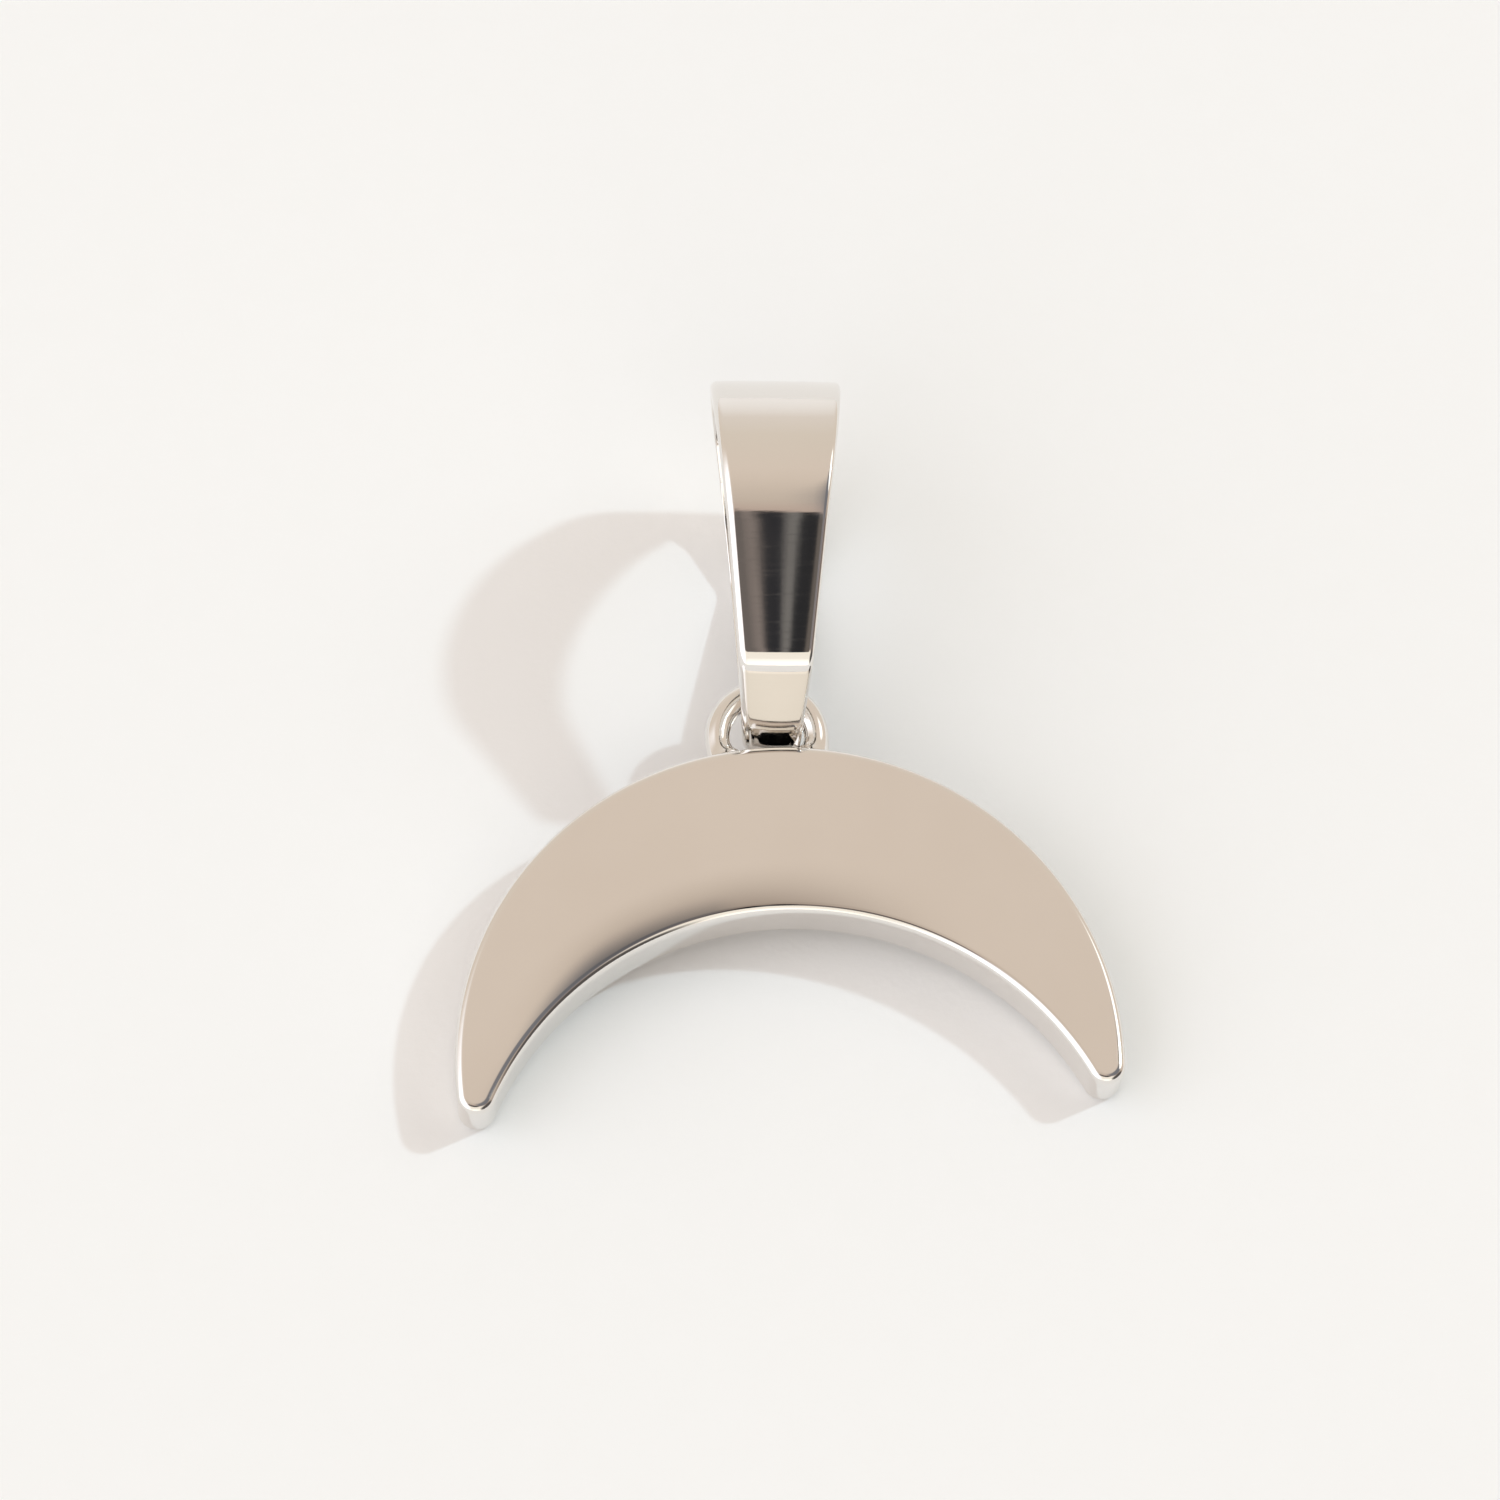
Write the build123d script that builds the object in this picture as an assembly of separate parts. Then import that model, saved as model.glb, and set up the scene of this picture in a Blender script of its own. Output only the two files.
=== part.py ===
from build123d import *
import os
from math import asin, atan2, cos, degrees, hypot, radians, sin, sqrt

# A crescent moon pendant lying on its back, in millimetres. Y points from the horn tips to the bail, Z up.
# The crescent rests on its two horn tips. Its other end is held up by the bail, whose strap passes through the
# ring on the crescent's edge and rests on the ground at its foot.

# Crescent plate
outer_radius = 10.0
inner_radius = 9.85
inner_centre_drop = 5.24
plate_thickness = 1.9
plate_edge_radius = 0.25
horn_tip_radius = 0.58

# Round wire ring, soldered to the plate's outer edge
ring_outer_diameter = 3.8
ring_wire = 0.76
solder_fillet_radius = 0.18

# Bail, a strap folded into a closed loop
bail_length = 12.5
bail_depth = 9.6
bail_strap_thickness = 0.48
bail_edge_radius = 0.2
bail_wide_width = 4.15
bail_side_hollow = 0.16
bail_back_narrowing = 0.65
bail_slope_deg = 21.5
bail_turn_deg = -3.6
bail_side_shift = 0.13

# Gaps between the bail's strap and the crescent
strap_side_clearance = 0.31
strap_to_plate_clearance = 0.38
strap_under_ring_clearance = 0.15

# Rounds in which the crescent's tilt is worked out
settling_rounds = 6

# Sizes that follow from those above
bail_narrow_width = ring_outer_diameter - 2 * ring_wire - 2 * strap_side_clearance
ring_path_radius = (ring_outer_diameter - ring_wire) / 2
ring_centre_stand_off = bail_strap_thickness / 2 + strap_to_plate_clearance

# Corners of the loop's outer side, seen from the side. The loop's narrow end, in the ring, is at 0, 0. along is a
# share of bail_length, and across and bend, the radius inside the bend, are shares of bail_depth.
BAIL_CORNERS = [
    {"name": "ring bend", "along": 0.0000, "across": 0.000, "bend": 0.055},
    {"name": "front knee", "along": 0.2123, "across": 0.451, "bend": 0.045},
    {"name": "wide end", "along": 0.9872, "across": 0.571, "bend": 0.415},
    {"name": "heel", "along": 0.9487, "across": -0.194, "bend": 0.260},
    {"name": "back", "along": 0.7201, "across": -0.414, "bend": 0.260},
    {"name": "foot", "along": 0.4914, "across": -0.419, "bend": 0.075},
    {"name": "under ring", "along": 0.1710, "across": -0.085, "bend": 0.300},
]


def crescent_outline():
    disc = Circle(outer_radius)
    bite = Pos(0, -inner_centre_drop) * Circle(inner_radius)
    moon = disc - bite
    tips = moon.vertices().sort_by(Axis.X)
    return fillet([tips[0], tips[-1]], horn_tip_radius)


def build_plate(outline):
    plate = extrude(outline, plate_thickness)
    plate = fillet(plate.edges().filter_by_position(Axis.Z, 0, 0), plate_edge_radius)
    rim = plate.edges().filter_by_position(Axis.Z, plate_thickness, plate_thickness)
    return fillet(rim, plate_edge_radius)


def ring_centre_in_crescent():
    return Vector(0, outer_radius + ring_centre_stand_off, plate_thickness / 2)


def build_crescent(outline):
    plate = build_plate(outline)
    ring = Pos(ring_centre_in_crescent()) * Torus(ring_path_radius, ring_wire / 2)
    crescent = plate + ring
    solder_lines = new_edges(plate, ring, combined=crescent)
    return fillet(solder_lines, solder_fillet_radius)


def bail_corner_points():
    return [Vector(c["along"] * bail_length, c["across"] * bail_depth) for c in BAIL_CORNERS]


def bail_outer_bends():
    return [corner["bend"] * bail_depth + bail_strap_thickness for corner in BAIL_CORNERS]


def bail_side_section():
    loop = make_face(FilletPolyline(*bail_corner_points(), radius=bail_outer_bends(), close=True))
    return loop - offset(loop, -bail_strap_thickness)


def bail_width_at(along):
    return bail_narrow_width + (bail_wide_width - bail_narrow_width) * along / bail_length


def bail_plan(across):
    # Outline at one height over the ring bend. The sides are slightly hollow, and the back is narrower than the front.
    near, middle, far = -bail_strap_thickness, bail_length / 2, bail_length + bail_strap_thickness
    wider = bail_back_narrowing * across / bail_depth
    half_near, half_middle, half_far = ((bail_width_at(along) + wider) / 2 for along in (near, middle, far))
    half_middle -= bail_side_hollow
    right = ThreePointArc((half_near, near), (half_middle, middle), (half_far, far))
    left = ThreePointArc((-half_far, far), (-half_middle, middle), (-half_near, near))
    far_end = Line((half_far, far), (-half_far, far))
    near_end = Line((-half_near, near), (half_near, near))
    return Pos(0, 0, across) * make_face([right, far_end, left, near_end])


def build_bail():
    band = extrude(Plane.YZ * bail_side_section(), bail_wide_width, both=True)
    taper = loft([bail_plan(-bail_depth), bail_plan(bail_depth)], ruled=True)
    strap = band & taper
    sides = strap.faces().filter_by(lambda face: abs(face.normal_at().X) > 0.9).sort_by(Axis.X)
    rims = sides[0].outer_wire().edges() + sides[-1].outer_wire().edges()
    return fillet(rims, bail_edge_radius)


def ring_bend_legs():
    # Directions from the ring bend's corner to the knee and to the strap under the ring
    ring_bend, front_knee, under_ring = (bail_corner_points()[i] for i in (0, 1, -1))
    return (front_knee - ring_bend).normalized(), (under_ring - ring_bend).normalized()


def ring_bend_half_angle():
    to_knee, to_under = ring_bend_legs()
    return radians(to_knee.get_angle(to_under)) / 2


def ring_seat_in_bail():
    # Middle of the strap's thickness half way round the ring bend
    to_knee, to_under = ring_bend_legs()
    bend_radius = bail_outer_bends()[0]
    to_outer_face = bend_radius / sin(ring_bend_half_angle()) - bend_radius
    seat = (to_knee + to_under).normalized() * (to_outer_face + bail_strap_thickness / 2)
    return Vector(0, seat.X, seat.Y)


def ring_lift(tilt_deg):
    # Height of the ring's centre over its seat that lets its sides clear the edges of the leg under them
    to_under = ring_bend_legs()[1]
    leg_fall = atan2(-to_under.Y, to_under.X) - radians(bail_slope_deg)
    leg_half_width = bail_width_at(ring_path_radius) / 2
    reach = sqrt(ring_path_radius**2 - leg_half_width**2)
    middle_bend_radius = bail_outer_bends()[0] - bail_strap_thickness / 2
    seat_over_leg = middle_bend_radius * (1 - sin(ring_bend_half_angle()))
    needed = (ring_wire + bail_strap_thickness) / 2 + strap_under_ring_clearance
    return (needed - seat_over_leg - reach * sin(leg_fall + radians(tilt_deg))) / cos(leg_fall)


def crescent_tilt_deg(ring_height, tip_y):
    # Turn about X that sets the horn tips' rounded lower edges on the ground with the ring at its height
    ring_centre = ring_centre_in_crescent()
    reach = ring_centre.Y - (tip_y + plate_edge_radius)
    rise = ring_centre.Z - plate_edge_radius
    climb = ring_height - plate_edge_radius
    return degrees(asin(climb / hypot(reach, rise)) - atan2(rise, reach))


def settle_ring(seat_height, tip_y):
    # The ring's height and the crescent's tilt follow each other, so they are worked out in turn
    ring_height = seat_height
    for _ in range(settling_rounds):
        tilt = crescent_tilt_deg(ring_height, tip_y)
        ring_height = seat_height + ring_lift(tilt)
    return ring_height, crescent_tilt_deg(ring_height, tip_y)


def build_pendant():
    # The ring's centre stands over 0, 0 until the last step
    sloped = Rot(bail_slope_deg, 0, 0) * (Pos(-ring_seat_in_bail()) * build_bail())
    seat_height = -sloped.bounding_box().min.Z
    bail = Pos(bail_side_shift, 0, seat_height) * (Rot(0, 0, bail_turn_deg) * sloped)

    outline = crescent_outline()
    ring_height, tilt = settle_ring(seat_height, outline.bounding_box().min.Y)
    centred = Pos(-ring_centre_in_crescent()) * build_crescent(outline)
    crescent = Pos(0, 0, ring_height) * (Rot(tilt, 0, 0) * centred)

    box = Compound([crescent, bail]).bounding_box()
    to_origin = Pos(-box.center().X, -box.center().Y, -box.min.Z)
    return {"crescent": to_origin * crescent, "bail": to_origin * bail}


os.makedirs("parts", exist_ok=True)
for node, shape in build_pendant().items():
    export_step(shape, f"parts/{node}.step")
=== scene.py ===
# %% [markdown]
# # A crescent moon pendant in polished steel
#
# This lesson dresses the imported CAD model of a small pendant: a flat crescent with a soldered wire ring,
# and a folded strap, the bail, that hangs in the ring. Everything ends in metres, in the CAD model's own
# frame: the pendant lies on the surface at height 0, with its horn tips towards -Y and the bail towards +Y.
#
# First the frame is loaded. Its parts are kept, so that each finished piece's box can be compared with its
# CAD node's.

# %% Load the frame
from math import asin, atan2, cos, degrees, hypot, radians, sin, tan

import bmesh
import bpy
from mathutils import Matrix, Vector


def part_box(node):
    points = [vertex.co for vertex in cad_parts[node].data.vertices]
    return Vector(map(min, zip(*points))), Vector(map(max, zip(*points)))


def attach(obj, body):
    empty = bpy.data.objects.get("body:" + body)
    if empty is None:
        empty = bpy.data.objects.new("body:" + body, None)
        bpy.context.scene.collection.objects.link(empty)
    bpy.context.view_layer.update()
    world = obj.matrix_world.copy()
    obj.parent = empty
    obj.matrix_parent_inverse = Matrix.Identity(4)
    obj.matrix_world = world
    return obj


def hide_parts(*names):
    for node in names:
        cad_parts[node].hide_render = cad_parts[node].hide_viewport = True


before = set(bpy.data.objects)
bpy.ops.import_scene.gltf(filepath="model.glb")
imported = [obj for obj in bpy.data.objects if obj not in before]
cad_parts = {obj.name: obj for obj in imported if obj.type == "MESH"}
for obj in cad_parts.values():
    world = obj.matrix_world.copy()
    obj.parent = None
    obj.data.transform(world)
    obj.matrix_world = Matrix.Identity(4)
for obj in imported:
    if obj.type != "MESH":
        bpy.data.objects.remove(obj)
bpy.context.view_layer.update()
print("CAD nodes:", sorted(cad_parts))

# %% [markdown]
# ## The camera
#
# The pendant is seen from about 61 degrees above the table, a little from its left, with the camera turned
# a few degrees about its own line of sight. A near camera with a wide lens could frame it as well, but the
# far end of the bail would shrink too much. So the camera stands well back with a 120 mm lens, and its
# distance follows from how wide the picture is at the pendant.

# %% Set up the camera
SIGHT_ELEVATION = radians(61)
SIGHT_AZIMUTH = radians(-7.2)
SIGHT_ROLL = radians(3.8)
SIGHT_WIDTH = 0.0461
PICTURE_PIXELS = 1500
LENS_MM = 120
SENSOR_MM = 36
RING_CENTRE = Vector((0, 0.0005028, 0.0023099))
RING_RIGHT_PIXELS = 17
RING_UP_PIXELS = 12

to_camera = Vector((
    sin(SIGHT_AZIMUTH) * cos(SIGHT_ELEVATION),
    -cos(SIGHT_AZIMUTH) * cos(SIGHT_ELEVATION),
    sin(SIGHT_ELEVATION),
))
level_right = Vector((cos(SIGHT_AZIMUTH), sin(SIGHT_AZIMUTH), 0))
level_up = to_camera.cross(level_right)
picture_right = cos(SIGHT_ROLL) * level_right + sin(SIGHT_ROLL) * level_up
picture_up = to_camera.cross(picture_right)

pixel = SIGHT_WIDTH / PICTURE_PIXELS
middle = RING_CENTRE - RING_RIGHT_PIXELS * pixel * picture_right - RING_UP_PIXELS * pixel * picture_up
distance = SIGHT_WIDTH * LENS_MM / SENSOR_MM

lens = bpy.data.cameras.new("studio_camera")
lens.lens = LENS_MM
lens.sensor_width = SENSOR_MM
lens.clip_start = 0.001
camera = bpy.data.objects.new("studio_camera", lens)
bpy.context.scene.collection.objects.link(camera)
axes = Matrix((picture_right, picture_up, to_camera)).transposed().to_4x4()
camera.matrix_world = Matrix.Translation(middle + distance * to_camera) @ axes
bpy.context.scene.camera = camera
bpy.context.scene.view_settings.view_transform = "Standard"
print("camera distance in mm:", round(1000 * distance, 1))

# %% [markdown]
# ## Sums on sockets
#
# Each finish below is a small calculation, such as noise times a number, or one minus a mask. Drawn by hand
# that is a cloud of Math nodes. This class wraps one socket, so that ordinary Python sums add those nodes,
# and its method node adds a node of any other kind.


# %% A class for sums on sockets
class Signal:
    """One socket of a node tree. Sums with it add Math nodes, and node() adds any other node."""

    def __init__(self, tree, socket=None):
        self.tree = tree
        self.socket = socket

    def node(self, kind, output=None, settings=None, inputs=None):
        made = self.tree.nodes.new(kind)
        for name, value in (settings or {}).items():
            if name == "stops":
                self.set_stops(made.color_ramp, value)
            else:
                setattr(made, name, value)
        for name, value in (inputs or {}).items():
            if isinstance(value, Signal):
                self.tree.links.new(value.socket, made.inputs[name])
            else:
                made.inputs[name].default_value = value
        return Signal(self.tree, None if output is None else made.outputs[output])

    def set_stops(self, ramp, stops):
        while len(ramp.elements) < len(stops):
            ramp.elements.new(1)
        for element, (position, colour) in zip(ramp.elements, stops):
            element.position = position
            element.color = (*colour, 1)

    def math(self, operation, first, second):
        return self.node("ShaderNodeMath", "Value", {"operation": operation}, {0: first, 1: second})

    def __add__(self, other):
        return self.math("ADD", self, other)

    def __radd__(self, other):
        return self.math("ADD", other, self)

    def __sub__(self, other):
        return self.math("SUBTRACT", self, other)

    def __rsub__(self, other):
        return self.math("SUBTRACT", other, self)

    def __mul__(self, other):
        return self.math("MULTIPLY", self, other)

    def __rmul__(self, other):
        return self.math("MULTIPLY", other, self)

    def smooth(self, low, high):
        # 0 below low and 1 above high, with a soft step between
        settings = {"interpolation_type": "SMOOTHSTEP"}
        limits = {"Value": self, "From Min": low, "From Max": high}
        return self.node("ShaderNodeMapRange", "Result", settings, limits)

    def clipped(self):
        # Nothing below 0
        return self.math("MAXIMUM", self, 0.0)

    def ramp(self, *stops):
        return self.node("ShaderNodeValToRGB", "Color", {"stops": stops}, {"Fac": self})

    def mix(self, first, second):
        # This signal is the share of the second colour
        return self.node("ShaderNodeMix", 2, {"data_type": "RGBA"}, {0: self, 6: first, 7: second})


# %% [markdown]
# ## The light
#
# A polished metal shows its surroundings more than itself. The pendant lies in the sun from a window to its
# right, in a bright beige room. Area lights and cards could give the same light, but they would stand in
# the way of views from other sides. So the room is a world shader that depends on direction alone, and the
# sun is a sun lamp, large enough for slightly soft shadows.

# %% The sun
TO_SUN = Vector((0.972, 0.276, 1.0)).normalized()
sun_light = bpy.data.lights.new("window_sun", "SUN")
sun_light.energy = 0.79
sun_light.angle = radians(3)
sun_light.color = (0.66, 0.85, 0.95)
sun = bpy.data.objects.new("window_sun", sun_light)
sun.matrix_world = TO_SUN.to_track_quat("Z", "Y").to_matrix().to_4x4()
bpy.context.scene.collection.objects.link(sun)
print("the sun's height in degrees:", round(degrees(asin(TO_SUN.z)), 1))

# %% [markdown]
# The room is built up like a picture, from large areas to small ones. First come the walls, from cream at
# the front over a brown band to pale beige overhead and at the back, and a wide white window on the left.

# %% The room's walls and its left window
world = bpy.data.worlds.new("beige_room")
world.use_nodes = True
world.node_tree.nodes.clear()
room = Signal(world.node_tree)
direction = room.node("ShaderNodeTexCoord", "Generated")


def towards(vector):
    """How far the room's direction points along a vector, from -1 to 1."""
    both = {0: direction, 1: vector}
    return room.node("ShaderNodeVectorMath", "Value", {"operation": "DOT_PRODUCT"}, both)


walls = (towards((0, 0.5, 0)) + 0.5).ramp(
    (0.00, (1.50, 1.42, 1.30)),
    (0.06, (1.00, 0.94, 0.84)),
    (0.20, (0.98, 0.91, 0.80)),
    (0.28, (0.47, 0.34, 0.29)),
    (0.40, (0.59, 0.50, 0.42)),
    (0.55, (0.69, 0.59, 0.50)),
    (0.63, (0.72, 0.62, 0.53)),
    (0.86, (0.72, 0.64, 0.55)),
    (0.95, (0.76, 0.69, 0.62)),
    (1.00, (0.93, 0.90, 0.87)),
)
left_window = towards((-1, 0, 0)).smooth(0.25, 0.6) * (1 - towards((0, 1, 0)).smooth(0.05, 0.55))
with_window = left_window.mix(walls, (1.48, 1.5, 1.57, 1))
print("nodes for the walls and the window:", len(world.node_tree.nodes))

# %% [markdown]
# What makes metal look like metal is dark next to bright. The strap's slope mirrors a dark, streaked shape
# that stands behind the camera, an oval about twice as wide as it is high. The crescent's rolled edges
# mirror a dark corner of the room, and a grey curtain beside it. A small bright patch stands where the sun
# comes from, for the glints.

# %% The room's dark parts
sideways = towards(tuple(picture_right))
upwards = towards(tuple(picture_up))
shape_edge = (sideways * sideways * 9 + upwards * upwards * 30).smooth(0.8, 1.1)
dark_shape = (1 - shape_edge) * towards(tuple(to_camera)).smooth(0.3, 0.6)
shape_colour = (sideways * 4 + 0.3).ramp(
    (0.22, (0.15, 0.13, 0.12)),
    (0.36, (0.25, 0.21, 0.19)),
    (0.44, (0.03, 0.03, 0.033)),
    (0.57, (0.024, 0.024, 0.028)),
    (0.63, (0.18, 0.17, 0.16)),
    (0.68, (0.20, 0.19, 0.18)),
    (0.73, (0.024, 0.024, 0.026)),
    (0.93, (0.024, 0.024, 0.026)),
    (0.98, (0.14, 0.12, 0.105)),
)
with_shape = dark_shape.mix(with_window, shape_colour)

dark_corner = towards(tuple(Vector((0.75, -0.62, 0.22)).normalized())).smooth(0.85, 0.95)
with_corner = dark_corner.mix(with_shape, (0.10, 0.09, 0.085, 1))
dark_curtain = towards(tuple(Vector((0.46, -0.16, 0.87)).normalized())).smooth(0.895, 0.97)
with_curtain = dark_curtain.mix(with_corner, (0.19, 0.19, 0.205, 1))
sun_window = towards(tuple(TO_SUN)).smooth(0.95, 0.98)
surroundings = sun_window.mix(with_curtain, (1.5, 1.5, 1.45, 1))
print("nodes with the dark parts:", len(world.node_tree.nodes))

# %% [markdown]
# The camera itself sees a plain backdrop beyond the surface's far edge, so that low views have a calm
# background.

# %% Light the scene with the room
ROOM_STRENGTH = 1.08
BACKDROP_COLOUR = (0.90, 0.87, 0.84, 1)
shining = {"Color": surroundings, "Strength": ROOM_STRENGTH}
lit_room = room.node("ShaderNodeBackground", "Background", None, shining)
backdrop = room.node("ShaderNodeBackground", "Background", None, {"Color": BACKDROP_COLOUR})
seen = room.node("ShaderNodeLightPath", "Is Camera Ray")
sky = room.node("ShaderNodeMixShader", "Shader", None, {0: seen, 1: lit_room, 2: backdrop})
room.node("ShaderNodeOutputWorld", None, None, {"Surface": sky})
bpy.context.scene.world = world
print("nodes of the whole room:", len(world.node_tree.nodes))

# %% [markdown]
# ## Drawing with moves
#
# The crescent's outline, the strap's section and the strap's loop all consist of straight runs and round
# turns. A curve object could hold each, but then its points would have to be worked out first. It is
# simpler to push geometry along the moves: bmesh's spin turns a point, or a whole section, about a centre,
# and with no angle it pushes it straight ahead. The shapes are drawn in millimetres and go to metres at the
# very end.

# %% A helper that pushes geometry along moves
def follow(bm, geometry, place, heading_deg, moves, flat):
    """Pushes geometry through runs and turns. flat(x, y) gives a point of the plane that the moves lie in.

    A move is a run's length, or (radius, degrees, steps) for a turn, to the left where degrees are positive.
    """
    x, y = place
    heading = radians(heading_deg)
    axis = flat(1, 0).cross(flat(0, 1))
    for move in moves:
        if isinstance(move, tuple):
            radius, turn_deg, steps = move
            side = 1 if turn_deg > 0 else -1
            centre_x = x - side * radius * sin(heading)
            centre_y = y + side * radius * cos(heading)
            centre = flat(centre_x, centre_y)
            angle = radians(turn_deg)
            spun = bmesh.ops.spin(bm, geom=geometry, cent=centre, axis=axis, angle=angle, steps=steps)
            heading += radians(turn_deg)
            x = centre_x + side * radius * sin(heading)
            y = centre_y - side * radius * cos(heading)
        else:
            ahead = flat(x + move * cos(heading), y + move * sin(heading)) - flat(x, y)
            spun = bmesh.ops.spin(bm, geom=geometry, cent=(0, 0, 0), axis=axis, dvec=ahead, angle=0, steps=1)
            x += move * cos(heading)
            y += move * sin(heading)
        geometry = spun["geom_last"]
    return x, y, degrees(heading)


def finished_object(name, bm, place):
    """Makes an object of a bmesh in millimetres, put in its place in metres."""
    bmesh.ops.transform(bm, matrix=Matrix.Scale(0.001, 4) @ place, verts=bm.verts)
    mesh = bpy.data.meshes.new(name)
    bm.to_mesh(mesh)
    bm.free()
    piece = bpy.data.objects.new(name, mesh)
    bpy.context.scene.collection.objects.link(piece)
    return piece


# %% [markdown]
# ## The crescent
#
# The real crescent is cut from flat plate, its corners are rolled over and it is polished all over, and a
# wire ring is soldered to its outer edge. The CAD model's mesh has these forms in small flat facets, which
# a mirror finish would show. So the crescent is drawn again: an outline of four arcs, extruded, with its
# rims bevelled in smooth steps. A narrow strip of faces beside each rim keeps the rim's smooth shading from
# spreading over the flat face.

# %% The crescent's outline
OUTER_RADIUS = 10.0
INNER_RADIUS = 9.85
INNER_DROP = 5.24
TIP_RADIUS = 0.58
PLATE_THICKNESS = 1.9
PLATE_EDGE_RADIUS = 0.25

# The tips' round ends touch both arcs, so their centres follow from two distances
to_outer_centre = OUTER_RADIUS - TIP_RADIUS
to_inner_centre = INNER_RADIUS + TIP_RADIUS
tip_y = (to_inner_centre**2 - to_outer_centre**2 - INNER_DROP**2) / (2 * INNER_DROP)
tip_x = (to_outer_centre**2 - tip_y**2) ** 0.5
outer_start = degrees(atan2(tip_y, tip_x))
inner_start = degrees(atan2(tip_y + INNER_DROP, tip_x))
outer_sweep = 180 - 2 * outer_start
inner_sweep = 180 - 2 * inner_start
tip_sweep = 180 - inner_start + outer_start

plate_bm = bmesh.new()
first = plate_bm.verts.new((
    OUTER_RADIUS * cos(radians(outer_start)),
    OUTER_RADIUS * sin(radians(outer_start)),
    0,
))
arcs = [
    (OUTER_RADIUS, outer_sweep, 190),
    (TIP_RADIUS, tip_sweep, 30),
    (INNER_RADIUS, -inner_sweep, 130),
    (TIP_RADIUS, tip_sweep, 30),
]
end = follow(plate_bm, [first], first.co.xy, outer_start + 90, arcs, lambda x, y: Vector((x, y, 0)))
print("outline closes within mm:", round(hypot(end[0] - first.co.x, end[1] - first.co.y), 6))
bmesh.ops.remove_doubles(plate_bm, verts=plate_bm.verts, dist=0.001)
outline_face = bmesh.ops.contextual_create(plate_bm, geom=plate_bm.edges[:])["faces"]

# %% The crescent's plate
SUPPORT_INSET = 0.03
WALL_LEVELS = (0.45, 0.95, 1.45)

raised = bmesh.ops.extrude_face_region(plate_bm, geom=outline_face, use_keep_orig=True)["geom"]
raised_verts = [part for part in raised if isinstance(part, bmesh.types.BMVert)]
bmesh.ops.translate(plate_bm, vec=(0, 0, PLATE_THICKNESS), verts=raised_verts)
bmesh.ops.recalc_face_normals(plate_bm, faces=plate_bm.faces)
rims = [edge for edge in plate_bm.edges if abs(edge.verts[0].co.z - edge.verts[1].co.z) < 0.001]
bmesh.ops.bevel(
    plate_bm, geom=rims, affect="EDGES", offset_type="OFFSET", offset=PLATE_EDGE_RADIUS,
    segments=7, profile=0.5, material=-1, clamp_overlap=False,
)
flats = [face for face in plate_bm.faces if len(face.verts) > 4]
bmesh.ops.inset_region(plate_bm, faces=flats, thickness=SUPPORT_INSET, use_even_offset=True)
for level in WALL_LEVELS:
    everything = plate_bm.verts[:] + plate_bm.edges[:] + plate_bm.faces[:]
    bmesh.ops.bisect_plane(plate_bm, geom=everything, plane_co=(0, 0, level), plane_no=(0, 0, 1))
open_edges = [edge for edge in plate_bm.edges if len(edge.link_faces) != 2]
print("plate faces:", len(plate_bm.faces), "flats:", len(flats), "open edges:", len(open_edges))

# %% [markdown]
# The ring is round wire. Its two sides run into the plate's outer edge, where the solder makes them a
# little thicker. A torus from the menu would have no such flare, so a circle is spun most of the way round,
# and the sections near the plate are scaled up. A boolean union then fuses ring and plate into one body of
# metal.

# %% The wire ring
RING_PATH_RADIUS = 1.52
WIRE_RADIUS = 0.38
RING_STAND_OFF = 0.62
RING_SWEEP_DEG = 270
FLARE_START_DEG = 6
FLARE_END_DEG = -24
FLARE_GROWTH = 0.42

ring_y = OUTER_RADIUS + RING_STAND_OFF
ring_bm = bmesh.new()
bmesh.ops.create_circle(ring_bm, cap_ends=True, segments=32, radius=WIRE_RADIUS)
upright = Matrix.Rotation(radians(90), 4, "X")
to_path = Matrix.Translation((RING_PATH_RADIUS, 0, 0))
to_start = Matrix.Rotation(radians(90 - RING_SWEEP_DEG / 2), 4, "Z") @ to_path
bmesh.ops.transform(ring_bm, matrix=to_start @ upright, verts=ring_bm.verts)
bmesh.ops.spin(
    ring_bm, geom=ring_bm.faces[:] + ring_bm.edges[:] + ring_bm.verts[:],
    cent=(0, 0, 0), axis=(0, 0, 1), angle=radians(RING_SWEEP_DEG), steps=90,
)
for vert in ring_bm.verts:
    around = degrees(atan2(vert.co.y, abs(vert.co.x)))
    share = min(max((FLARE_START_DEG - around) / (FLARE_START_DEG - FLARE_END_DEG), 0), 1)
    path = Vector((vert.co.x, vert.co.y, 0)).normalized() * RING_PATH_RADIUS
    vert.co = path + (vert.co - path) * (1 + FLARE_GROWTH * share**3)
bmesh.ops.translate(ring_bm, vec=(0, ring_y, PLATE_THICKNESS / 2), verts=ring_bm.verts)
bmesh.ops.recalc_face_normals(ring_bm, faces=ring_bm.faces)
loose = [edge for edge in ring_bm.edges if len(edge.link_faces) != 2]
print("ring faces:", len(ring_bm.faces), "open edges:", len(loose))

# %% Fuse the ring and the plate
plate = finished_object("crescent_plate", plate_bm, Matrix.Scale(1000, 4))
ring = finished_object("crescent_ring", ring_bm, Matrix.Scale(1000, 4))
union = plate.modifiers.new("solder", "BOOLEAN")
union.operation = "UNION"
union.solver = "EXACT"
union.object = ring
dressed = plate.evaluated_get(bpy.context.evaluated_depsgraph_get())
fused_bm = bmesh.new()
fused_bm.from_mesh(dressed.to_mesh())
for shell in (plate, ring):
    bpy.data.objects.remove(shell)
open_edges = [edge for edge in fused_bm.edges if len(edge.link_faces) != 2]
print("fused faces:", len(fused_bm.faces), "open edges:", len(open_edges))

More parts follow.
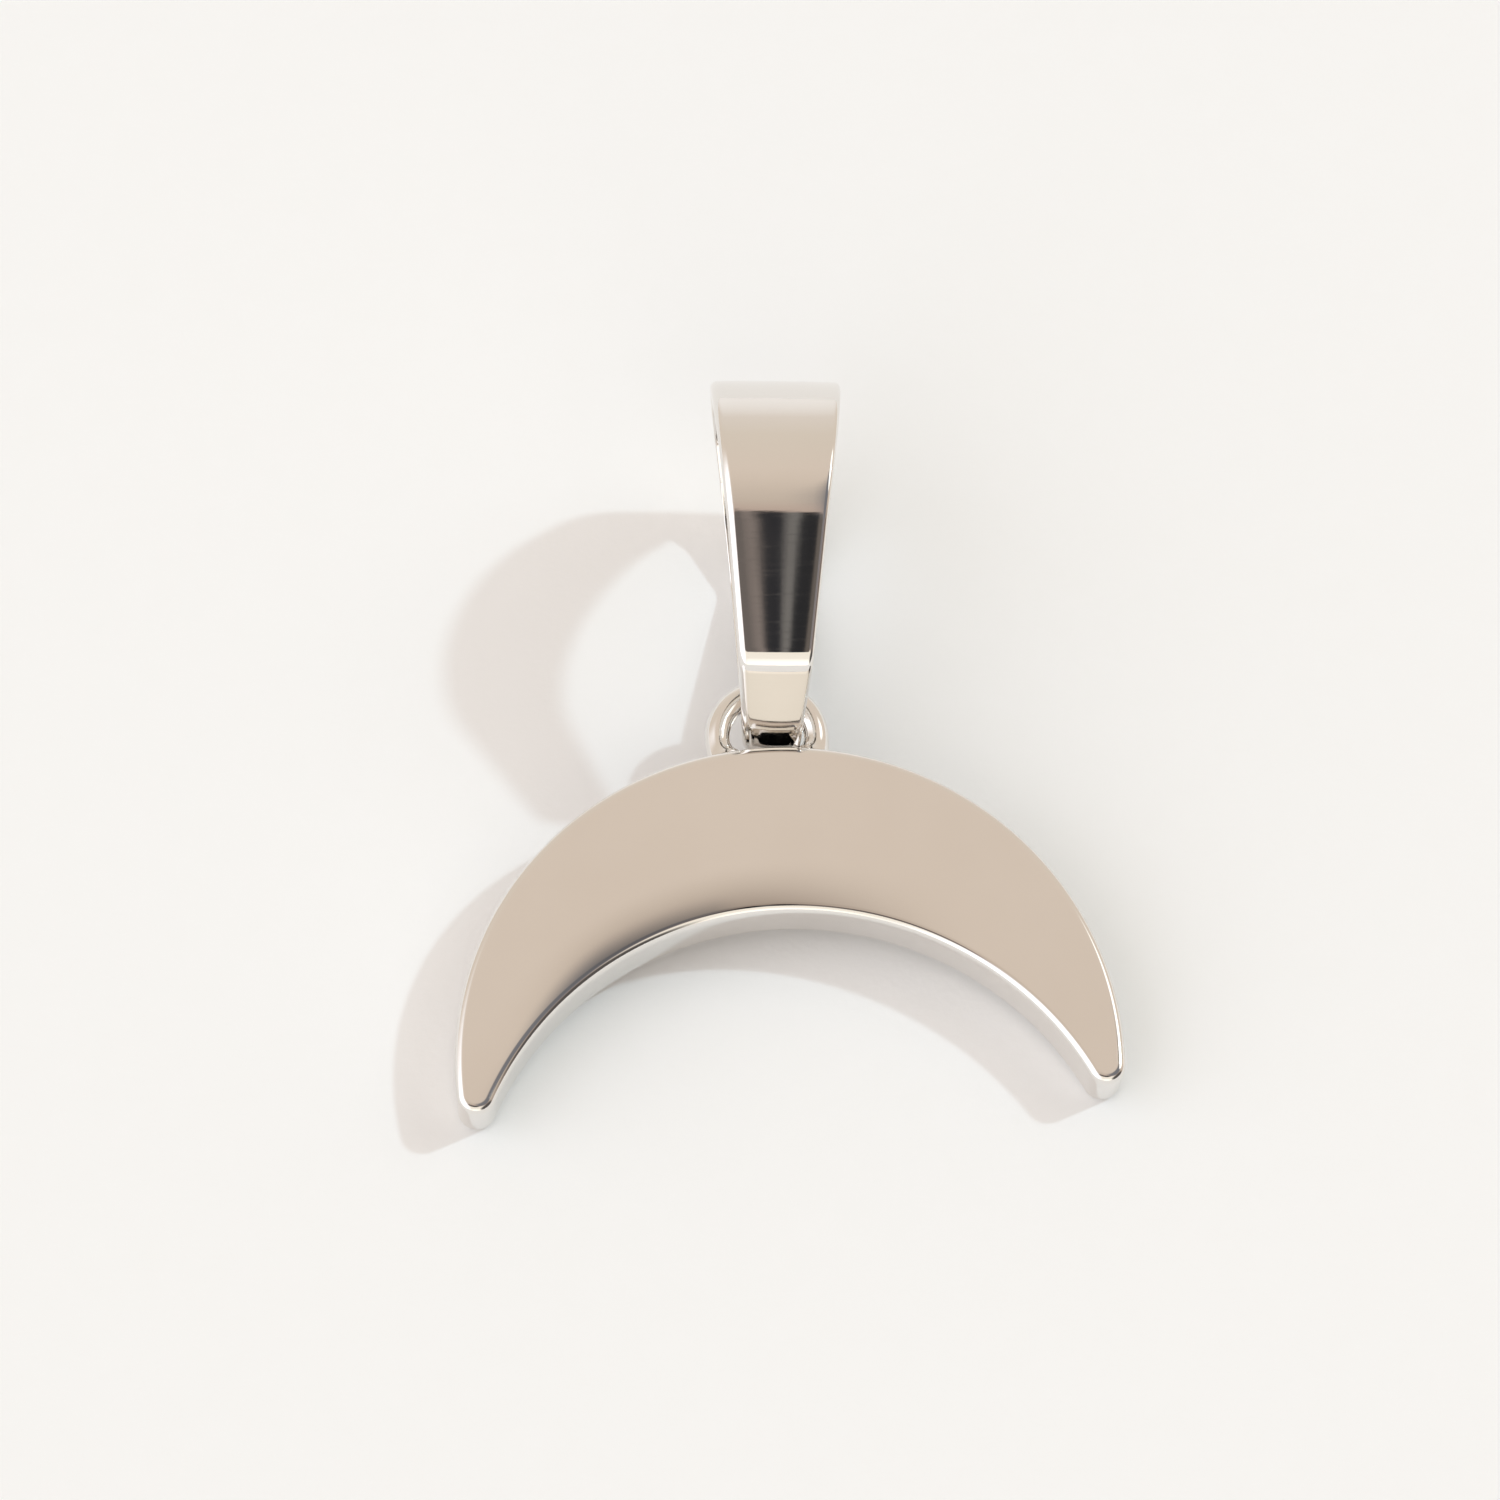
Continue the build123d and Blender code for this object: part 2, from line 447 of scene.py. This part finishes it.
# %% Lay the crescent down
CRESCENT_TILT = radians(6.723)
for face in fused_bm.faces:
    face.smooth = True
lie = Matrix.Translation(1000 * RING_CENTRE) @ Matrix.Rotation(CRESCENT_TILT, 4, "X")
lie = lie @ Matrix.Translation((0, -ring_y, -PLATE_THICKNESS / 2))
crescent = finished_object("polished_crescent", fused_bm, lie)


def compare_boxes(piece, node):
    """Prints how far a piece's box is from its CAD node's, in millimetres."""
    low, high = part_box(node)
    spots = [vert.co for vert in piece.data.vertices]
    below = [round(1000 * (min(spot[axis] for spot in spots) - low[axis]), 3) for axis in range(3)]
    above = [round(1000 * (max(spot[axis] for spot in spots) - high[axis]), 3) for axis in range(3)]
    print(piece.name, "low corner off by", below, "high corner off by", above)


compare_boxes(crescent, "crescent")

# %% [markdown]
# ## The bail
#
# The bail is a flat strap, narrow in the ring and wide at its far end, folded into a closed loop. Its outer
# edges are rounded by polishing, and its face is very slightly domed. Bending a flat mesh with modifiers
# would make the loop's shape hard to control. Here the strap's section is drawn first, then pushed round
# the loop, and last its sides are drawn in towards the ring. As at the crescent's rims, a short run beside
# each turn keeps the shading of the straight parts even.

# %% The strap's section
STRAP_THICKNESS = 0.48
DRAWN_HALF_WIDTH = 1.0
LEFT_EDGE_RADIUS = 0.28
RIGHT_EDGE_RADIUS = 0.17
CROWN_DEG = 3.5
STRAP_INNER_RADIUS = 0.04
SECTION_SUPPORT = 0.03

strap_bm = bmesh.new()
turn_share = 1 - sin(radians(CROWN_DEG))
corner = strap_bm.verts.new((DRAWN_HALF_WIDTH - RIGHT_EDGE_RADIUS * turn_share - SECTION_SUPPORT, 0, 0))
face_run = 2 * (DRAWN_HALF_WIDTH - SECTION_SUPPORT) - (RIGHT_EDGE_RADIUS + LEFT_EDGE_RADIUS) * turn_share
crown = (face_run / (2 * sin(radians(CROWN_DEG))), 2 * CROWN_DEG, 12)
inner_run = 2 * (DRAWN_HALF_WIDTH - STRAP_INNER_RADIUS - SECTION_SUPPORT)
side_height = STRAP_THICKNESS - STRAP_INNER_RADIUS - 2 * SECTION_SUPPORT
left_turn = (LEFT_EDGE_RADIUS, 90 - CROWN_DEG, 8)
right_turn = (RIGHT_EDGE_RADIUS, 90 - CROWN_DEG, 6)
inner_turn = (STRAP_INNER_RADIUS, 90, 3)
section_moves = [
    crown, SECTION_SUPPORT, left_turn, SECTION_SUPPORT, side_height - LEFT_EDGE_RADIUS, SECTION_SUPPORT,
    inner_turn, SECTION_SUPPORT, inner_run, SECTION_SUPPORT, inner_turn,
    SECTION_SUPPORT, side_height - RIGHT_EDGE_RADIUS, SECTION_SUPPORT, right_turn, SECTION_SUPPORT,
]
print("section moves:", len(section_moves))
follow(strap_bm, [corner], (corner.co.x, 0), 180 - CROWN_DEG, section_moves, lambda x, y: Vector((x, 0, y)))
bmesh.ops.remove_doubles(strap_bm, verts=strap_bm.verts, dist=0.001)
print("section points:", len(strap_bm.verts))

# %% The strap's loop
BAIL_LENGTH = 12.5
BAIL_DEPTH = 9.6
LOOP_SUPPORT = 0.05
LOOP_CORNERS = [
    ("ring bend", 0.0000, 0.000, 0.055),
    ("front knee", 0.2123, 0.451, 0.045),
    ("wide end", 0.9872, 0.571, 0.415),
    ("heel", 0.9487, -0.194, 0.260),
    ("back", 0.7201, -0.414, 0.260),
    ("foot", 0.4914, -0.419, 0.075),
    ("under ring", 0.1710, -0.085, 0.300),
]
points = [Vector((along * BAIL_LENGTH, across * BAIL_DEPTH)) for _, along, across, _ in LOOP_CORNERS]
radii = [bend * BAIL_DEPTH + STRAP_THICKNESS for *_, bend in LOOP_CORNERS]
count = len(points)
headings = []
for number in range(count):
    run = points[(number + 1) % count] - points[number]
    headings.append(degrees(atan2(run.y, run.x)))
turns = [(headings[number] - headings[number - 1] + 180) % 360 - 180 for number in range(count)]
trims = [radius * tan(radians(abs(turn)) / 2) for radius, turn in zip(radii, turns)]
print("loop turns in degrees:", [round(turn, 1) for turn in turns])

# %% Push the section round the loop
TURN_STEP_DEG = 4.5


def turn_move(number):
    """The move that rounds one corner of the loop."""
    return radii[number], turns[number], max(4, round(abs(turns[number]) / TURN_STEP_DEG))


def run_length(number):
    """How much straight strap is left between a corner and the next."""
    following = (number + 1) % count
    return (points[following] - points[number]).length - trims[number] - trims[following]


start_along = trims[0] + run_length(0) / 2
start = points[0] + (points[1] - points[0]).normalized() * start_along
to_start = Matrix.Translation((0, start.x, start.y)) @ Matrix.Rotation(radians(headings[0]), 4, "X")
bmesh.ops.transform(strap_bm, matrix=to_start, verts=strap_bm.verts)

loop_moves = [run_length(0) / 2 - LOOP_SUPPORT, LOOP_SUPPORT]
for number in range(1, count):
    loop_moves += [turn_move(number), LOOP_SUPPORT, run_length(number) - 2 * LOOP_SUPPORT, LOOP_SUPPORT]
loop_moves += [turn_move(0), LOOP_SUPPORT, run_length(0) / 2 - LOOP_SUPPORT]
section = strap_bm.verts[:] + strap_bm.edges[:]
end = follow(strap_bm, section, start, headings[0], loop_moves, lambda x, y: Vector((0, x, y)))
print("loop closes within mm:", round(hypot(end[0] - start.x, end[1] - start.y), 6))
bmesh.ops.remove_doubles(strap_bm, verts=strap_bm.verts, dist=0.001)
bmesh.ops.recalc_face_normals(strap_bm, faces=strap_bm.faces)
open_edges = [edge for edge in strap_bm.edges if len(edge.link_faces) != 2]
print("strap faces:", len(strap_bm.faces), "open edges:", len(open_edges))

# %% [markdown]
# So far the strap is equally wide all round. Scaling it would squeeze its rounded edges too, so each point
# near an edge keeps its distance from it, and only the middle is stretched. The sides are slightly hollow,
# and the strap's back is narrower than its front. Then the bail is laid down: tipped up on its foot, turned
# a few degrees, with its narrow bend in the ring.

# %% Taper the strap and lay the bail down
BAIL_NARROW_WIDTH = 1.66
BAIL_WIDE_WIDTH = 4.15
SIDE_HOLLOW = 0.32
BACK_NARROWING = 0.65
EDGE_ZONE = 0.33
BAIL_SEAT = Vector((0, 0.7670, 0.2611))
BAIL_SEAT_HEIGHT = 1.9411
BAIL_SIDE_SHIFT = 0.13
BAIL_SLOPE = radians(21.5)
BAIL_TURN = radians(-3.6)

for vert in strap_bm.verts:
    share = vert.co.y / BAIL_LENGTH
    grown = (BAIL_WIDE_WIDTH - BAIL_NARROW_WIDTH) * share + BACK_NARROWING * vert.co.z / BAIL_DEPTH
    edge_x = (BAIL_NARROW_WIDTH + grown - SIDE_HOLLOW * 4 * share * (1 - share)) / 2
    side = 1 if vert.co.x > 0 else -1
    from_edge = DRAWN_HALF_WIDTH - abs(vert.co.x)
    if from_edge < EDGE_ZONE:
        vert.co.x = side * (edge_x - from_edge)
    else:
        vert.co.x *= (edge_x - EDGE_ZONE) / (DRAWN_HALF_WIDTH - EDGE_ZONE)
for face in strap_bm.faces:
    face.smooth = True
seat_place = Matrix.Translation((BAIL_SIDE_SHIFT, 1000 * RING_CENTRE.y, BAIL_SEAT_HEIGHT))
lie = seat_place @ Matrix.Rotation(BAIL_TURN, 4, "Z") @ Matrix.Rotation(BAIL_SLOPE, 4, "X")
bail = finished_object("polished_bail", strap_bm, lie @ Matrix.Translation(-BAIL_SEAT))
compare_boxes(bail, "bail")

# %% [markdown]
# ## The metal
#
# The metal is polished steel with a warm tone. A plain mirror would look like computer graphics. The real
# plate has a very fine grain from its last rubbing, faint lines from polishing, and places that are a
# little duller. They are in its roughness, in its colour and in tiny bumps. The noise is scaled in metres,
# so 2000 gives spots of half a millimetre.


# %% A polished metal
STEEL_COLOUR = (0.838, 0.815, 0.787)
DULL_COLOUR = (0.815, 0.787, 0.755)
# Painted shade: a dark colour laid along the crescent's inner edge, for the dark room it mirrors
PAINTED_EDGE_SHADE_COLOUR = (0.44, 0.41, 0.385)
LOWEST_ROUGHNESS = 0.05
LINES_ROUGHNESS = 0.03


def polished_metal(name, lines_scale, line_depth, grain_depth, highest_roughness, edge_roll_and_shade=None):
    """Steel with grain, polishing lines across one direction, and duller patches. Depths are in metres.

    The edge function, where given, takes the material's first signal and its object coordinates. It gives a
    height in metres, and how much of the painted shade colour shows.
    """
    material = bpy.data.materials.new(name)
    material.use_nodes = True
    material.node_tree.nodes.clear()
    net = Signal(material.node_tree)
    place = net.node("ShaderNodeTexCoord", "Object")

    patches = net.node("ShaderNodeTexNoise", "Fac", None, {"Vector": place, "Scale": 260.0, "Detail": 4.0})
    grain = net.node("ShaderNodeTexNoise", "Fac", None, {"Vector": place, "Scale": 9000.0, "Detail": 2.0})
    stretched = net.node("ShaderNodeMapping", "Vector", None, {"Vector": place, "Scale": lines_scale})
    lines = net.node("ShaderNodeTexNoise", "Fac", None, {"Vector": stretched, "Scale": 1.0, "Detail": 3.0})

    dullness = patches.smooth(0.35, 0.75)
    colour_here = (dullness * 0.7 + grain * 0.3).mix((*STEEL_COLOUR, 1), (*DULL_COLOUR, 1))
    added_by_patches = dullness * (highest_roughness - LOWEST_ROUGHNESS)
    roughness = LOWEST_ROUGHNESS + added_by_patches + lines.smooth(0.5, 0.8) * LINES_ROUGHNESS
    relief = {"Height": grain, "Distance": grain_depth, "Strength": 1.0}
    bumps = net.node("ShaderNodeBump", "Normal", None, relief)
    relief = {"Height": lines, "Distance": line_depth, "Strength": 1.0, "Normal": bumps}
    bumps = net.node("ShaderNodeBump", "Normal", None, relief)
    if edge_roll_and_shade is not None:
        height, share = edge_roll_and_shade(net, place)
        # Painted shade: the colour turns darker near the crescent's inner edge
        colour_here = share.mix(colour_here, (*PAINTED_EDGE_SHADE_COLOUR, 1))
        wear = {"Height": height, "Distance": 1.0, "Strength": 1.0, "Normal": bumps}
        bumps = net.node("ShaderNodeBump", "Normal", None, wear)
    surface = net.node("ShaderNodeBsdfPrincipled", "BSDF", None, {
        "Base Color": colour_here,
        "Metallic": 1.0,
        "Roughness": roughness,
        "Normal": bumps,
    })
    net.node("ShaderNodeOutputMaterial", None, None, {"Surface": surface})
    return material


# %% [markdown]
# Left of its middle, the crescent's face darkens over its last one or two millimetres before the inner
# edge. There the last polishing has rolled it over a little. The mesh could have this slope, but it is only
# about a tenth of a millimetre deep, so the slope is a bump. The darkening is painted shade: a darker colour
# that stands in for the dark room mirrored in the edge. Both are weaker towards the horn tip and right of
# the middle, and the walls keep their colour.

# %% The rolled inner edge and its painted shade
INNER_EDGE_CENTRE = (0, RING_CENTRE.y - 0.001 * (ring_y + INNER_DROP), 0)
ROLL_WIDTH = 0.0014
ROLL_SLOPE = 0.18
# How wide the painted shade along the inner edge is
PAINTED_SHADE_WIDTH = 0.0017


def rolled_edge_and_painted_shade(net, place):
    """Height of the crescent's face near its inner edge, and the share of painted shade there."""
    across = net.node("ShaderNodeSeparateXYZ", "X", None, {"Vector": place})
    without_height = {0: place, 1: (1, 1, 0)}
    flat_spot = net.node("ShaderNodeVectorMath", "Vector", {"operation": "MULTIPLY"}, without_height)
    from_centre = {0: flat_spot, 1: INNER_EDGE_CENTRE}
    radius = net.node("ShaderNodeVectorMath", "Value", {"operation": "DISTANCE"}, from_centre)
    to_edge = radius - 0.001 * INNER_RADIUS
    rolled = (1 - to_edge * (1 / ROLL_WIDTH)).clipped()
    painted_shade_falloff = (1 - to_edge * (1 / PAINTED_SHADE_WIDTH)).clipped()
    left_share = 0.1 + 0.9 * across.smooth(0.002, -0.002)
    tip_share = 0.6 + 0.4 * across.smooth(-0.0085, -0.005)
    height = rolled * rolled * left_share * tip_share * (-ROLL_SLOPE * ROLL_WIDTH / 2)
    normal = net.node("ShaderNodeTexCoord", "Normal")
    on_face = net.node("ShaderNodeSeparateXYZ", "Z", None, {"Vector": normal}).smooth(0.9, 0.98)
    # How much painted shade darkens the colour: on the face only, left of the middle, weaker at the tip
    share = painted_shade_falloff * painted_shade_falloff * on_face * across.smooth(0.006, -0.001) * across.smooth(-0.0085, -0.0045)
    return height, share


print("depth of the roll at the edge in mm:", round(1000 * ROLL_SLOPE * ROLL_WIDTH / 2, 3))

# %% Give both pieces their metal
crescent_metal = polished_metal(
    "rubbed_steel_with_painted_edge_shade", lines_scale=(300.0, 5200.0, 5200.0), line_depth=0.00000004,
    grain_depth=0.00000005, highest_roughness=0.09, edge_roll_and_shade=rolled_edge_and_painted_shade,
)
bail_metal = polished_metal(
    "lined_bail_steel", lines_scale=(900.0, 11000.0, 11000.0), line_depth=0.0000006,
    grain_depth=0.00000006, highest_roughness=0.08,
)
crescent.data.materials.append(crescent_metal)
bail.data.materials.append(bail_metal)
for metal in (crescent_metal, bail_metal):
    print(metal.name, "has nodes:", len(metal.node_tree.nodes))

# %% [markdown]
# ## The surface under the pendant
#
# The pendant lies on smooth, nearly white card. Its fibres show as a very faint mottling, so the floor has
# a little noise in its colour and in its bumps, and hardly any gloss.

# %% The floor
FLOOR_HALF_SIZE = 1.5

floor_bm = bmesh.new()
bmesh.ops.create_grid(floor_bm, x_segments=1, y_segments=1, size=FLOOR_HALF_SIZE)
floor_mesh = bpy.data.meshes.new("pale_card")
floor_bm.to_mesh(floor_mesh)
floor_bm.free()
floor = bpy.data.objects.new("pale_card", floor_mesh)
bpy.context.scene.collection.objects.link(floor)

card = bpy.data.materials.new("pale_card")
card.use_nodes = True
card.node_tree.nodes.clear()
paper = Signal(card.node_tree)
spot = paper.node("ShaderNodeTexCoord", "Object")
mottle = paper.node("ShaderNodeTexNoise", "Fac", None, {"Vector": spot, "Scale": 900.0, "Detail": 5.0})
fibres = paper.node("ShaderNodeTexNoise", "Fac", None, {"Vector": spot, "Scale": 4000.0, "Detail": 3.0})
card_colour = mottle.mix((0.945, 0.94, 0.93, 1), (0.96, 0.955, 0.95, 1))
card_relief = paper.node("ShaderNodeBump", "Normal", None, {"Height": fibres, "Distance": 0.000006})
card_surface = paper.node("ShaderNodeBsdfPrincipled", "BSDF", None, {
    "Base Color": card_colour,
    "Roughness": 0.95,
    "Specular IOR Level": 0.1,
    "Normal": card_relief,
})
paper.node("ShaderNodeOutputMaterial", None, None, {"Surface": card_surface})
floor.data.materials.append(card)
print("the card's side in metres:", 2 * FLOOR_HALF_SIZE)

# %% [markdown]
# ## Tie the looks to the frame
#
# Each new piece stands for its CAD node, whose mesh is hidden, and moves with the pendant's one body.

# %% Fasten the pieces and hide their CAD nodes
for piece, node in ((crescent, "crescent"), (bail, "bail")):
    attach(piece, "root")
    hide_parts(node)
